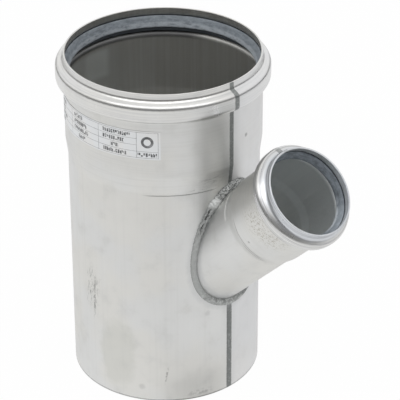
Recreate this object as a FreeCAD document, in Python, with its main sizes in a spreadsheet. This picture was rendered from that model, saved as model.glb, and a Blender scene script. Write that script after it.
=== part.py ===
import FreeCAD, Part
import math
import os
import Sketcher

# Stainless steel push-fit drain branch, 110 mm run with a 50 mm inlet at 45 degrees.
# The run stands on its plain end: origin at that end's centre, +Z up the run, inlet leaning to +X.

os.makedirs("parts", exist_ok=True)
doc = FreeCAD.newDocument("pipe_branch")

# Driving sizes, in millimetres and degrees. The stretches of a socket follow one another down from
# its mouth, and the inlet is placed by its crotch, the corner between its upper side and the run.
SIZES = {
    "run_radius": (55.0, "outside radius of the run pipe"),
    "run_wall": (1.0, "sheet thickness of the run pipe"),
    "run_length": (201.0, "plain end to socket mouth"),
    "run_socket_gap": (0.3, "how much wider the socket is than the pipe that goes in"),
    "run_bead_height": (4.5, "how far the bead that holds the seal stands out of the socket"),
    "run_collar_length": (4.0, "mouth to the crease under the collar"),
    "run_shoulder_length": (2.0, "crease to the top of the bead"),
    "run_bead_length": (9.5, "height of the bead's outer wall"),
    "run_foot_length": (1.2, "foot of the bead to the straight socket"),
    "run_socket_length": (34.8, "straight socket under the bead"),
    "run_taper_length": (10.5, "straight socket to the plain pipe"),
    "run_seam_angle": (-3.2, "direction of the seam round the run, from +X"),
    "branch_radius": (25.0, "outside radius of the inlet pipe"),
    "branch_wall": (1.0, "sheet thickness of the inlet pipe"),
    "branch_socket_gap": (0.2, "how much wider the socket is than the pipe that goes in"),
    "branch_bead_height": (4.0, "how far the bead that holds the seal stands out of the socket"),
    "branch_collar_length": (3.9, "mouth to the crease under the collar"),
    "branch_shoulder_length": (2.4, "crease to the top of the bead"),
    "branch_bead_length": (5.5, "height of the bead's outer wall"),
    "branch_foot_length": (1.2, "foot of the bead to the straight socket"),
    "branch_socket_length": (26.5, "straight socket under the bead"),
    "branch_taper_length": (6.0, "straight socket to the plain pipe"),
    "branch_seam_angle": (180.0, "direction of the seam round the inlet, 180 is its upper side"),
    "branch_seam_gap": (7.2, "crotch to where the inlet's seam shows"),
    "branch_angle": (45.0, "angle between the inlet and the run"),
    "crotch_gap": (6.6, "crotch above the inlet to the run's taper"),
    "neck_length": (9.7, "crotch to the inlet's taper, along the inlet"),
    "bend_radius": (2.0, "inside radius of the formed bends"),
    "soft_radius": (8.0, "radius of the soft bends between pipe and socket"),
    "collar_lean": (0.2, "how far the collars lean in at their mouths"),
    "lip_round": (0.2, "rounding of the cut edge at the mouths"),
    "seam_width": (2.8, "width of the long weld seams"),
    "seam_height": (0.1, "how far the long seams stand proud"),
    "weld_side": (1.8, "radius of the weld bead at the sides of the inlet"),
    "weld_heel": (2.4, "radius of the weld bead under the inlet"),
    "weld_crotch": (3.9, "radius of the weld bead above the inlet"),
    "weld_heel_shift": (1.3, "how far the bead lies off the corner under the inlet"),
    "weld_crotch_shift": (2.2, "how far the bead lies off the corner above the inlet"),
    "weld_sink": (0.8, "how far the middle of the bead lies inside the run's surface"),
    "seal_fit": (0.1, "gap between a seal and the bead it sits in"),
    "seal_relief": (0.1, "how far a seated seal stands proud of the socket wall"),
    "seal_chamfer": (1.6, "corner taken off the back of a seal"),
    "seal_top_gap": (0.5, "gap between the collar and the seal"),
    "seal_low_gap": (0.4, "gap between the seal and the foot of the bead"),
    "seal_lip": (1.1, "thickness of the folded sealing lip"),
    "seal_slit": (0.7, "width of the slit behind the lip"),
    "seal_root": (2.2, "thickness of rubber above the slit"),
    "label_gap": (5.8, "foot of the bead to the label's upper edge"),
    "label_height": (17.3, "height of the label"),
    "label_thickness": (0.15, "thickness of the label"),
    "label_glue": (0.05, "thickness of the adhesive behind the label"),
    "label_start_angle": (-140.0, "direction of the label's left edge, from +X"),
    "label_sweep_angle": (93.4, "angle that the label wraps"),
}
ABOVE = 5.0  # how far a cutting tool runs past what it cuts
STRETCHES = ("collar", "shoulder", "bead", "foot", "socket", "taper")  # of a socket, from its mouth
WELD_STEPS = 16  # sections along each half of the branch weld

sheet = doc.addObject("Spreadsheet::Sheet", "sizes")
for row, (name, (number, meaning)) in enumerate(SIZES.items(), start=1):
    sheet.set(f"A{row}", meaning)
    sheet.set(f"B{row}", str(number))
    sheet.setAlias(f"B{row}", name)
doc.recompute()


class Size:
    """A length or angle: the text that FreeCAD's expressions read, and the number it stands for now."""

    def __init__(self, text, number):
        self.text = text
        self.number = number

    def __add__(self, other):
        other = as_size(other)
        return Size(f"({self.text} + {other.text})", self.number + other.number)

    def __sub__(self, other):
        other = as_size(other)
        return Size(f"({self.text} - {other.text})", self.number - other.number)

    def __mul__(self, other):
        other = as_size(other)
        return Size(f"({self.text} * {other.text})", self.number * other.number)

    def __truediv__(self, other):
        other = as_size(other)
        return Size(f"({self.text} / {other.text})", self.number / other.number)

    def root(self):
        return Size(f"sqrt({self.text})", math.sqrt(self.number))

    def sine(self):
        return Size(f"sin({self.text})", math.sin(math.radians(self.number)))

    def cosine(self):
        return Size(f"cos({self.text})", math.cos(math.radians(self.number)))


def as_size(value):
    return value if isinstance(value, Size) else Size(repr(float(value)), float(value))


def size(name):
    return Size(f"sizes.{name}", float(sheet.get(name)))


def bind(obj, prop, value):
    obj.setExpression(prop, as_size(value).text)


def outline(body, name, corners):
    """Closed outline in the body's YZ plane, from (distance from the axis, height) pairs."""
    sketch = body.newObject("Sketcher::SketchObject", name)
    plane = next(f for f in body.Origin.OriginFeatures if f.Role == "YZ_Plane")
    sketch.AttachmentSupport = [(plane, "")]
    sketch.MapMode = "FlatFace"
    points = [FreeCAD.Vector(out.number, up.number, 0) for out, up in corners]
    count = len(points)
    for i in range(count):
        sketch.addGeometry(Part.LineSegment(points[i], points[(i + 1) % count]), False)
    for i in range(count):
        sketch.addConstraint(Sketcher.Constraint("Coincident", i, 2, (i + 1) % count, 1))
    for i, (out, up) in enumerate(corners):
        for kind, axis, distance in (("DistanceX", -2, out), ("DistanceY", -1, up)):
            if distance.text == "0.0":
                sketch.addConstraint(Sketcher.Constraint("PointOnObject", i, 1, axis))
                continue
            number = sketch.addConstraint(Sketcher.Constraint(kind, -1, 1, i, 1, distance.number))
            bind(sketch, f"Constraints[{number}]", distance)
    return sketch


def turned(name, corners):
    """A body of revolution about Z."""
    body = doc.addObject("PartDesign::Body", name)
    sketch = outline(body, f"{name}_outline", corners)
    turn = body.newObject("PartDesign::Revolution", f"{name}_turn")
    turn.Profile = sketch
    turn.ReferenceAxis = (sketch, ["V_Axis"])
    turn.Angle = 360.0
    sketch.Visibility = False
    doc.recompute()
    return body


def round_rings(body, name, radius, rings):
    """Round the circular edges that lie at these (radius, height) places."""
    base = body.Tip
    found = []
    for number, edge in enumerate(base.Shape.Edges, start=1):
        if not isinstance(edge.Curve, Part.Circle):
            continue
        place = (edge.Curve.Radius, edge.Curve.Center.z)
        if any(math.dist(place, (out.number, up.number)) < 0.01 for out, up in rings):
            found.append(f"Edge{number}")
    if len(found) != len(rings):
        raise RuntimeError(f"{name}: {len(rings)} rings wanted, {len(found)} found")
    fillet = body.newObject("PartDesign::Fillet", name)
    fillet.Base = (base, found)
    bind(fillet, "Radius", radius)
    doc.recompute()


def mitre(rise, reach, wall):
    """How far apart the two faces of a bent sheet are, along the wall, at a bend of this slope."""
    slope = rise / reach
    return wall * ((slope * slope + 1.0).root() - slope)


def stretches(which):
    """The lengths of a socket's stretches, from its mouth down."""
    return [size(f"{which}_{stretch}_length") for stretch in STRETCHES]


class Pipe:
    """The sizes of one pipe with a socket formed at its end."""

    def __init__(self, which, mouth, place):
        self.which = which
        self.place = place
        self.mouth = mouth
        self.radius = size(f"{which}_radius")
        self.wall = size(f"{which}_wall")
        self.socket = self.radius + self.wall + size(f"{which}_socket_gap")
        self.bore = self.socket - self.wall
        self.bead = self.socket + size(f"{which}_bead_height")
        self.collar_lean = size("collar_lean")
        ends = []
        end = mouth
        for length in stretches(which):
            end = end - length
            ends.append(end)
        self.collar, self.bead_top, self.bead_low, self.run_in, self.socket_end, self.taper_end = ends
        reach = self.bead - self.socket
        self.top_mitre = mitre(self.collar - self.bead_top, reach, self.wall)
        self.low_mitre = mitre(self.bead_low - self.run_in, reach, self.wall)
        # the inside of the bead, where the seal sits
        self.groove = self.bead - self.wall
        self.groove_top = self.bead_top - self.top_mitre
        self.groove_low = self.bead_low + self.low_mitre
        self.groove_mouth = self.collar - self.top_mitre
        self.groove_foot = self.run_in + self.low_mitre

    def core(self, name):
        """All that lies inside the pipe's outside, turned about Z, without the bead."""
        middle = as_size(0)
        foot, top = (self.radius, self.taper_end), (self.socket, self.socket_end)
        corners = [(middle, middle), (self.radius, middle), foot, top]
        corners += [(self.socket, self.mouth), (middle, self.mouth)]
        body = turned(name, corners)
        round_rings(body, f"{name}_soft_bends", size("soft_radius"), [foot, top])
        return self.place(body)

    def blank(self, name, start, proud):
        """The whole pipe, turned about Z, with its outside moved out by proud."""
        outside = self.radius + proud
        inside = self.radius - self.wall + proud
        socket = self.socket + proud
        bore = self.bore + proud
        bead = self.bead + proud
        groove = self.groove + proud
        outer_lip = (socket - self.collar_lean, self.mouth)
        inner_lip = (bore - self.collar_lean, self.mouth)
        body = turned(
            name,
            [
                (outside, start),
                (outside, self.taper_end),
                (socket, self.socket_end),
                (socket, self.run_in),
                (bead, self.bead_low),
                (bead, self.bead_top),
                (socket, self.collar),
                outer_lip,
                inner_lip,
                (bore, self.groove_mouth),
                (groove, self.groove_top),
                (groove, self.groove_low),
                (bore, self.groove_foot),
                (bore, self.socket_end),
                (inside, self.taper_end),
                (inside, start),
            ],
        )
        bend = size("bend_radius")
        outer_bends = [(bore, self.groove_mouth), (bead, self.bead_top)]
        outer_bends += [(bead, self.bead_low), (bore, self.groove_foot)]
        inner_bends = [(socket, self.collar), (groove, self.groove_top)]
        inner_bends += [(groove, self.groove_low), (socket, self.run_in)]
        soft_bends = [(outside, self.taper_end), (socket, self.socket_end)]
        soft_bends += [(bore, self.socket_end), (inside, self.taper_end)]
        round_rings(body, f"{name}_outer_bends", bend + self.wall, outer_bends)
        round_rings(body, f"{name}_inner_bends", bend, inner_bends)
        round_rings(body, f"{name}_soft_bends", size("soft_radius"), soft_bends)
        round_rings(body, f"{name}_lip", size("lip_round"), [outer_lip, inner_lip])
        return self.place(body)

    def seam(self, name, start, side):
        """The long weld: a narrow strip of a pipe that is slightly larger."""
        proud = self.blank(f"{name}_blank", start, size("seam_height"))
        reach = self.bead + ABOVE
        middle = as_size(0)
        sector = turned(
            f"{name}_sector",
            [(middle, start), (reach, start), (reach, self.mouth), (middle, self.mouth)],
        )
        turn = sector.Tip
        turn.Midplane = True
        bind(turn, "Angle", size("seam_width") / self.radius * (180.0 / math.pi))
        sketch = turn.Profile[0]
        # the sketch starts out along +Y, and its own second axis is the pipe's axis
        sketch.AttachmentOffset.Rotation = FreeCAD.Rotation(FreeCAD.Vector(0, 1, 0), 1.0)
        bind(sketch, "AttachmentOffset.Rotation.Angle", side - 90)
        doc.recompute()
        return boolean("Part::Common", name, proud, self.place(sector))


def boolean(kind, name, base, tool):
    result = doc.addObject(kind, name)
    result.Refine = False
    result.Base = base
    result.Tool = tool
    doc.recompute()
    return result


def lean(obj):
    """Put a thing that was made about Z onto the inlet's axis."""
    obj.Placement.Rotation = FreeCAD.Rotation(FreeCAD.Vector(0, 1, 0), 1.0)
    bind(obj, "Placement.Base.z", crossing)
    bind(obj, "Placement.Rotation.Angle", size("branch_angle"))
    doc.recompute()
    return obj


def upright(obj):
    """Leave a thing that was made about Z where it is."""
    return obj


def rod(name, radius, length):
    cylinder = doc.addObject("Part::Cylinder", name)
    bind(cylinder, "Radius", radius)
    bind(cylinder, "Height", length)
    return cylinder


# Layout: the crotch lies under the run's taper, and the axes cross below it
run = Pipe("run", size("run_length"), upright)
across, upward = size("branch_angle").sine(), size("branch_angle").cosine()
crotch = (run.radius + size("branch_radius") * upward) / across
crossing = run.taper_end - size("crotch_gap") - crotch * upward - size("branch_radius") * across
branch_mouth = sum(stretches("branch"), crotch + size("neck_length"))
branch = Pipe("branch", branch_mouth, lean)

# Run: the pipe, its long seam, and the opening that the inlet leads into
run_blank = run.blank("run_blank", as_size(0), as_size(0))
run_seam = run.seam("run_seam", as_size(0), size("run_seam_angle"))
run_seamed = boolean("Part::Fuse", "run_seamed", run_blank, run_seam)
passage = lean(rod("passage", branch.radius - branch.wall, branch.socket_end))
run_pipe = boolean("Part::Cut", "run_pipe", run_seamed, passage)

# Inlet: the same kind of pipe, leaned over and coped to the outside of the run
branch_blank = branch.blank("branch_blank", as_size(0), as_size(0))
branch_seam = branch.seam("branch_seam", crotch + size("branch_seam_gap"), size("branch_seam_angle"))
branch_seamed = boolean("Part::Fuse", "branch_seamed", branch_blank, branch_seam)
run_core = boolean("Part::Fuse", "run_core", run.core("run_outside"), run_seam)
branch_pipe = boolean("Part::Cut", "branch_pipe", branch_seamed, run_core)


def weld_centre(turn):
    """Middle of the weld bead. turn is 0 under the inlet, 180 degrees above it."""
    lean_by = math.radians(size("branch_angle").number)
    heel = max(math.cos(turn), 0.0) ** 2
    crotch = max(-math.cos(turn), 0.0) ** 2
    shift = heel * size("weld_heel_shift").number + crotch * size("weld_crotch_shift").number
    off = branch.radius.number + shift
    reach = run.radius.number - size("weld_sink").number
    aside = off * math.sin(turn)
    outward = math.sqrt(reach**2 - aside**2)
    along = (outward - off * math.cos(turn) * math.cos(lean_by)) / math.sin(lean_by)
    rise = along * math.cos(lean_by) - off * math.cos(turn) * math.sin(lean_by)
    return FreeCAD.Vector(outward, aside, crossing.number + rise)


def weld_radius(turn):
    heel = max(math.cos(turn), 0.0) ** 2
    crotch = max(-math.cos(turn), 0.0) ** 2
    side = size("weld_side").number
    more_heel = size("weld_heel").number - side
    more_crotch = size("weld_crotch").number - side
    return side + heel * more_heel + crotch * more_crotch


def weld_section(turn):
    """A circle square to the weld's path."""
    step = 0.001
    centre = weld_centre(turn)
    forward = weld_centre(turn + step) - weld_centre(turn - step)
    outward = FreeCAD.Vector(centre.x, centre.y, 0)
    circle = Part.Circle(FreeCAD.Vector(), FreeCAD.Vector(0, 0, 1), weld_radius(turn))
    wire = Part.Wire([circle.toShape()])
    facing = FreeCAD.Rotation(outward, FreeCAD.Vector(), forward, "ZXY")
    wire.Placement = FreeCAD.Placement(centre, facing)
    return wire


# Branch weld: a bead lofted round the joint, less what lies inside either pipe
half_bead = Part.makeLoft([weld_section(math.pi * i / WELD_STEPS) for i in range(WELD_STEPS + 1)], True)
other_half = half_bead.mirror(FreeCAD.Vector(), FreeCAD.Vector(0, 1, 0))
weld_bead = doc.addObject("Part::Feature", "weld_bead")
weld_bead.Shape = half_bead.fuse(other_half)
weld_outside = boolean("Part::Cut", "weld_outside", weld_bead, run_core)
branch_weld = boolean("Part::Cut", "branch_weld", weld_outside, branch.core("inlet_core"))


def seal(name, pipe):
    """A rubber ring in the bead, with its lip folded back as a pushed-in pipe leaves it."""
    bore = pipe.bore - size("seal_relief")
    back = pipe.groove - size("seal_fit")
    chamfer = size("seal_chamfer")
    top = pipe.groove_mouth - size("seal_top_gap")
    low = pipe.groove_foot + size("seal_low_gap")
    lip = bore + size("seal_lip")
    slit = lip + size("seal_slit")
    ring = turned(
        name,
        [
            (bore, top),
            (back - chamfer, pipe.groove_top - size("seal_fit")),
            (back, pipe.groove_top - chamfer),
            (back, pipe.groove_low + chamfer),
            (back - chamfer, pipe.groove_low + size("seal_fit")),
            (slit, pipe.groove_low + size("seal_fit")),
            (slit, top - size("seal_root")),
            (lip, top - size("seal_root")),
            (lip, low),
            (bore, low),
        ],
    )
    return pipe.place(ring)


run_seal = seal("run_seal", run)
branch_seal = seal("branch_seal", branch)

# Label: a strip of film stuck round the socket
label_back = run.socket + size("label_glue")
label_strip = rod("label_strip", label_back + size("label_thickness"), size("label_height"))
label_backing = rod("label_backing", label_back, size("label_height"))
for strip in (label_strip, label_backing):
    bind(strip, "Angle", size("label_sweep_angle"))
    bind(strip, "Placement.Base.z", run.run_in - size("label_gap") - size("label_height"))
    strip.Placement.Rotation = FreeCAD.Rotation(FreeCAD.Vector(0, 0, 1), 1.0)
    bind(strip, "Placement.Rotation.Angle", size("label_start_angle"))
type_label = boolean("Part::Cut", "type_label", label_strip, label_backing)

doc.recompute()
for obj in doc.Objects:
    if {"Invalid", "Error"} & set(obj.State):
        raise RuntimeError(f"{obj.Label} failed: {obj.State}")

SUBPARTS = {
    "run_pipe": run_pipe,
    "branch_pipe": branch_pipe,
    "branch_weld": branch_weld,
    "run_seal": run_seal,
    "branch_seal": branch_seal,
    "type_label": type_label,
}
for name, obj in SUBPARTS.items():
    obj.Label = name
    if obj.Shape.isNull() or not obj.Shape.isValid():
        raise RuntimeError(f"{name} has no valid shape")
for name, obj in SUBPARTS.items():
    obj.Shape.exportStep(f"parts/{name}.step")
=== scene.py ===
# %% [markdown]
# # A stainless steel pipe branch
#
# The object is a short drain pipe with a push-fit socket at its top. A smaller inlet joins it at 45
# degrees and has a socket of its own. Both pipes are rolled from thin sheet, so each has one long
# weld, and a third weld runs round the joint between them.
#
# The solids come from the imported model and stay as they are. This lesson dresses them: it adds the
# camera and the light, relaxed rubber seals, a hand-laid weld, and a finish for every surface.

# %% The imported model
import math

import bpy
from mathutils import Matrix, Vector, noise


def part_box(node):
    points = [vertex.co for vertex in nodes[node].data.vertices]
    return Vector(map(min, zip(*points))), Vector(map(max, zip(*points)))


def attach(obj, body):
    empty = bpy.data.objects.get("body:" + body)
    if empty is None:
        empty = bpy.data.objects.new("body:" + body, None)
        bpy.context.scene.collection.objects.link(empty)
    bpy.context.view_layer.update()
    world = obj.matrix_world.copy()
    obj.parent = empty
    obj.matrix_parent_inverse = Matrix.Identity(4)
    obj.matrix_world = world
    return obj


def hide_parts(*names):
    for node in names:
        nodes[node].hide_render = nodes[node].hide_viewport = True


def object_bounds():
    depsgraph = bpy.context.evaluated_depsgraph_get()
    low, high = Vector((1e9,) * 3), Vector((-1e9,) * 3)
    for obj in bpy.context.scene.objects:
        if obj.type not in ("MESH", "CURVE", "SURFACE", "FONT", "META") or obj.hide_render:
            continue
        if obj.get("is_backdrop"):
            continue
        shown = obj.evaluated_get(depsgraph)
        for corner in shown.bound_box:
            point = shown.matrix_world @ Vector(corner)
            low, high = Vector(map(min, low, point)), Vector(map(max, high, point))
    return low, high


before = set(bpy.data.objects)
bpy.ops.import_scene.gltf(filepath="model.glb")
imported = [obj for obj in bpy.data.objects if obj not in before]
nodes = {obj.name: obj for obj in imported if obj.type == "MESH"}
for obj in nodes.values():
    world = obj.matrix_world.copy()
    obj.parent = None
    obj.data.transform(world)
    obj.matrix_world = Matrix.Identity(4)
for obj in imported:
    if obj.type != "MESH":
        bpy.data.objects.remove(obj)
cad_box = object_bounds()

MM = 0.001
print("solids:", sorted(nodes))

# %% [markdown]
# ## The sizes that the dressing needs
#
# A seal has to sit in the groove that the press left for it, and a weld has to follow the corner
# between two pipes. We could measure the meshes, but a mesh gives its own corners and not the
# sizes it was made from. So the few sizes that matter are written down once, in millimetres.

# %% Sizes of the two pipes
RUN_RADIUS = 55.0
INLET_RADIUS = 25.0
CROSSING = 42.045  # height where the two axes meet
RUN_MOUTH = 201.0
LEAN = math.radians(45.0)
INLET_ALONG = Vector((math.sin(LEAN), 0.0, math.cos(LEAN)))
INLET_UNDER = Vector((math.cos(LEAN), 0.0, -math.sin(LEAN)))  # square to the inlet, on its lower side
INLET_FOOT = Vector((0.0, 0.0, CROSSING))
# each axis: a point on it, its direction, and the direction that counts as 0 degrees round it
RUN_AXIS = (Vector(), Vector((0, 0, 1)), Vector((1, 0, 0)))
INLET_AXIS = (INLET_FOOT, INLET_ALONG, INLET_UNDER)

low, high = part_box("run_pipe")
print("run stands", round((high.z - low.z) / MM, 1), "mm tall")

# %% [markdown]
# ## The camera
#
# The photograph was taken from a little over a metre away, looking down by 30 degrees. A long lens
# keeps the upright lines nearly parallel. The place, the lens and a slight roll were worked out from
# the outlines of the mouths, the bead and the sides, so the render can be laid over the photograph.

# %% Camera
LOOK_DOWN = math.radians(29.991)
LOOK_FROM = math.radians(-45.672)  # round the run, from +X
ROLL = math.radians(-0.189)
LENS = 194.2
SENSOR = 36.0
CAMERA_PLACE = Vector((774.94, -764.05, 731.49))

lens = bpy.data.cameras.new("camera")
lens.sensor_width = SENSOR
lens.lens = LENS
camera = bpy.data.objects.new("camera", lens)
bpy.context.scene.collection.objects.link(camera)
pitch = Matrix.Rotation(math.radians(90) - LOOK_DOWN, 4, "X")
yaw = Matrix.Rotation(LOOK_FROM + math.radians(90), 4, "Z")
roll = Matrix.Rotation(ROLL, 4, "Z")
camera.matrix_world = Matrix.Translation(CAMERA_PLACE * MM) @ yaw @ pitch @ roll
bpy.context.scene.camera = camera
bpy.context.scene.view_settings.view_transform = "Standard"
print("camera distance", round(camera.location.length, 3), "m")

# %% [markdown]
# ## Writing shaders as sums
#
# A finish is arithmetic on numbers that change over a surface: how far along the pipe, how far round
# it, how cloudy the metal is there. Wiring Math nodes by hand hides that arithmetic. Instead, one
# small class holds a socket and answers to the usual signs, so `1 - mask * 0.3` adds its own nodes.
# Colours and vectors have their own kinds of node, because a Math node would turn them grey.

# %% One value on its way through a material
class Value:
    def __init__(self, tree, socket=None):
        self.tree = tree
        self.socket = socket

    def node(self, kind, settings=None, inputs=None, out=0):
        """Add any node: its type, then its settings, then what its sockets hold or are linked to."""
        made = self.tree.nodes.new(kind)
        for name, setting in (settings or {}).items():
            setattr(made, name, setting)
        for name, value in (inputs or {}).items():
            if isinstance(value, Value):
                self.tree.links.new(value.socket, made.inputs[name])
            else:
                made.inputs[name].default_value = value
        return Value(self.tree, made.outputs[out])

    def math(self, operation, *others):
        inputs = dict(enumerate((self, *others)))
        return self.node("ShaderNodeMath", {"operation": operation}, inputs)

    def __add__(self, other):
        return self.math("ADD", other)

    __radd__ = __add__

    def __mul__(self, other):
        return self.math("MULTIPLY", other)

    __rmul__ = __mul__

    def __sub__(self, other):
        return self.math("SUBTRACT", other)

    def __rsub__(self, other):
        return self.node("ShaderNodeMath", {"operation": "SUBTRACT"}, {0: other, 1: self})

    def __truediv__(self, other):
        return self.math("DIVIDE", other)

    def __abs__(self):
        return self.math("ABSOLUTE")

    def dot(self, direction):
        """How far a vector reaches in a direction."""
        inputs = {0: self, 1: direction}
        return self.node("ShaderNodeVectorMath", {"operation": "DOT_PRODUCT"}, inputs, "Value")


# %% [markdown]
# Five helpers cover most of a finish. `rise` goes softly from 0 to 1, `near` is 1 close to a number,
# `paint` lays one colour over another, `clouds` gives an uneven number between 0 and 1, and `vector`
# joins three numbers into a place.

# %% Helpers for masks, colours and noise
def rise(value, start, end):
    """0 up to the start, 1 from the end on, and a soft slope between them."""
    settings = {"interpolation_type": "SMOOTHSTEP", "clamp": True}
    return value.node("ShaderNodeMapRange", settings, {"Value": value, "From Min": start, "From Max": end})


def near(value, middle, half, soft):
    """1 about a middle, with edges at half the width, each spread by soft to either side."""
    return 1 - rise(abs(value - middle), half - soft, half + soft)


def paint(under, over, mask):
    """A colour laid over another where the mask is 1. Either may be a link or three numbers."""
    under, over = ((*c, 1.0) if isinstance(c, tuple) else c for c in (under, over))
    return mask.node("ShaderNodeMix", {"data_type": "RGBA"}, {0: mask, 6: under, 7: over}, 2)


def clouds(place, size, detail=3.0, roughness=0.55):
    """Noise whose patches are about this many millimetres across."""
    inputs = {"Vector": place, "Scale": 1.0 / size, "Detail": detail, "Roughness": roughness}
    return place.node("ShaderNodeTexNoise", None, inputs, "Fac")


def vector(x, y, z):
    known = next(v for v in (x, y, z) if isinstance(v, Value))
    return known.node("ShaderNodeCombineXYZ", None, {0: x, 1: y, 2: z})


# %% [markdown]
# ## Where am I on the pipe?
#
# Rolled, pressed and turned things carry marks that follow the tool: rings round a socket, streaks
# along a sheet. Those need a place on the pipe, not a place in the room. A texture map could hold
# it, but the pipes are true cylinders, so their own axis gives it exactly: how far along, how far
# round in degrees, how far from the axis, and whether the surface faces out or in.

# %% Coordinates on a pipe
class Pipe:
    def __init__(self, begin, foot, along, start):
        """foot is a point on the axis, and start the direction that counts as 0 degrees."""
        aside = along.cross(start)
        metres = begin.node("ShaderNodeTexCoord", out="Object")
        inputs = {0: metres, "Scale": 1.0 / MM}
        self.place = begin.node("ShaderNodeVectorMath", {"operation": "SCALE"}, inputs)
        inputs = {0: self.place, 1: foot}
        offset = begin.node("ShaderNodeVectorMath", {"operation": "SUBTRACT"}, inputs)
        outward, sideways = offset.dot(start), offset.dot(aside)
        self.along = offset.dot(along)
        self.radius = (outward * outward + sideways * sideways).math("SQRT")
        self.angle = sideways.math("ARCTAN2", outward) * math.degrees(1)
        normal = begin.node("ShaderNodeNewGeometry", out="Normal")
        facing = (normal.dot(start) * outward + normal.dot(aside) * sideways) / self.radius
        self.outside = rise(facing, -0.25, 0.25)

    def wrapped(self, radius, round_size, along_size):
        """A place for noise that is stretched: one unit is round_size by along_size millimetres."""
        round_way = self.angle.math("RADIANS")
        cosine, sine = round_way.math("COSINE"), round_way.math("SINE")
        return vector(cosine * (radius / round_size), sine * (radius / round_size), self.along / along_size)


# %% Materials and bumps
def new_material(name):
    """An empty material, where its expressions begin, and its shader."""
    material = bpy.data.materials.new(name)
    material.use_nodes = True
    shader = material.node_tree.nodes["Principled BSDF"]
    return material, Value(material.node_tree), shader


def connect(shader, **links):
    for name, value in links.items():
        socket = shader.inputs[name.replace("_", " ")]
        shader.id_data.links.new(value.socket, socket)


def bumped(height, depth, normal=None):
    """A surface normal from a height. The height's 1 stands for this many millimetres."""
    inputs = {"Height": height, "Distance": depth * MM, "Strength": 1.0}
    if normal:
        inputs["Normal"] = normal
    return height.node("ShaderNodeBump", None, inputs)


print("helpers ready")

# %% [markdown]
# ## Pickled sheet steel
#
# The fitting was dipped in acid after welding. That leaves a pale, dull, slightly cloudy grey, warmer
# in some patches and cooler in others, with a faint grain along the sheet and fine rings where the
# tools pressed the sockets. It is bare metal, so Metallic is 1 and the colour is what it reflects.
# Inside, the colour is painted shade in the run, darker and browner, and painted light in the inlet,
# paler, with streaks along the pipe.

# %% Base of the steel finish
WARM = (0.768, 0.762, 0.734)
COOL = (0.758, 0.762, 0.754)
DULL = (0.670, 0.670, 0.652)


def bare_steel(pipe, radius, inside, inside_pale, inside_roughness):
    """Colour, roughness and height of the plain sheet, before seams, stains and scratches."""
    patches = clouds(pipe.place, 38.0, 2.0)
    cloudy = clouds(pipe.place, 11.0, 4.0, 0.6)
    grain = clouds(pipe.wrapped(radius, 0.45, 9.0), 1.0, 3.0, 0.6)
    colour = paint(COOL, WARM, rise(patches, 0.40, 0.60))
    colour = paint(colour, DULL, rise(cloudy, 0.50, 0.78) * 0.55 + grain * 0.10)
    streaks = clouds(pipe.wrapped(radius, 2.2, 160.0), 1.0, 4.0, 0.65)
    colour = paint(colour, DULL, rise(streaks, 0.50, 0.70) * 0.22)
    # inside, the colours passed in are painted shade in the run and painted light in the inlet
    painted_inside = paint(inside, inside_pale, rise(streaks, 0.38, 0.74))
    colour = paint(painted_inside, colour, pipe.outside)
    roughness = 0.38 + cloudy * 0.12 + grain * 0.05
    roughness = roughness + (1 - pipe.outside) * inside_roughness
    height = grain * 0.35 + cloudy * 0.65
    return colour, roughness, height


# %% [markdown]
# ## Long seams
#
# Each pipe's seam is a flat machine weld, 2.8 mm wide. It stayed dark grey, with a finely mottled
# edge and close ripples across it, and the sheet beside it is a little cooler in colour where the
# heat reached. The solid already has the raised strip, so the finish only has to find it.

# %% Seam finish
SEAM_GREY = (0.255, 0.266, 0.262)
SEAM_PALE = (0.390, 0.398, 0.392)
HEAT_GREY = (0.560, 0.570, 0.575)
SEAM_WIDTH = 2.8
SPREAD = 0.27  # by how much distances shrink low down, so that the strip is wider there


def seam(pipe, radius, colour, roughness, height, angle, worn_from):
    """angle: where it lies. worn_from: from here the forming tool wore the grey off, up to the collar."""
    off = (pipe.angle - angle) * (math.radians(1) * radius)
    wider = 1.0 - SPREAD * (1 - rise(pipe.along, 60.0, 100.0))
    ragged = clouds(pipe.wrapped(radius, 0.8, 1.1), 1.0, 4.0, 0.7) - 0.5
    strip = near(off * wider + ragged * 0.7, 0.0, SEAM_WIDTH / 2, 0.25) * pipe.outside
    warmed = near(off, 0.0, 5.0, 3.0) * pipe.outside
    ripples = (pipe.along * 5.5 + abs(off) * 2.0).math("SINE")
    mottle = clouds(pipe.place, 1.3, 3.0, 0.7)
    grey = paint(SEAM_GREY, SEAM_PALE, rise(mottle, 0.45, 0.75))
    colour = paint(colour, HEAT_GREY, warmed * 0.20)
    worn = rise(pipe.along, worn_from, worn_from + 1.5)
    worn = worn - rise(pipe.along, worn_from + 8.5, worn_from + 10.0) * 0.75
    left_over = 1 - worn * rise(mottle, 0.30, 0.42)
    colour = paint(colour, grey, strip * left_over)
    roughness = roughness + strip * 0.12
    height = height + strip * (ripples * 0.8 + mottle * 2.5)
    return colour, roughness, height


# %% [markdown]
# ## The run
#
# The run carries the marks of its life. A stain and a cluster of nicks sit low on the left, smears
# and fine scratches lie by the weld, and the foot has a dark bottom edge and some grime. A painted
# dark reflection lies low on the front, and a line of painted shade runs along the bend where the
# socket was expanded, on the camera's side. Inside, the far wall takes a painted pale reflection with
# a brighter patch, and painted shade lies along the groove's foot. The socket press left its rings.
# Each is a mask in degrees and millimetres. A painted texture would hold them too, but masks stay
# sharp at any size and need no file.

# %% Stains and spots on the run
STAIN = (0.600, 0.605, 0.560)
# a dark grey for scratches and spots, also used for painted shade and painted reflections
SCRATCH_AND_SHADE = (0.200, 0.200, 0.195)
LILAC = (0.740, 0.745, 0.772)
# angle, height, size and depth of each spot
SPOTS = ((-60.0, 9.0, 1.7, 0.20), (-19.0, 57.0, 1.6, 0.16), (9.4, 164.0, 1.0, 0.6))


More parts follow.
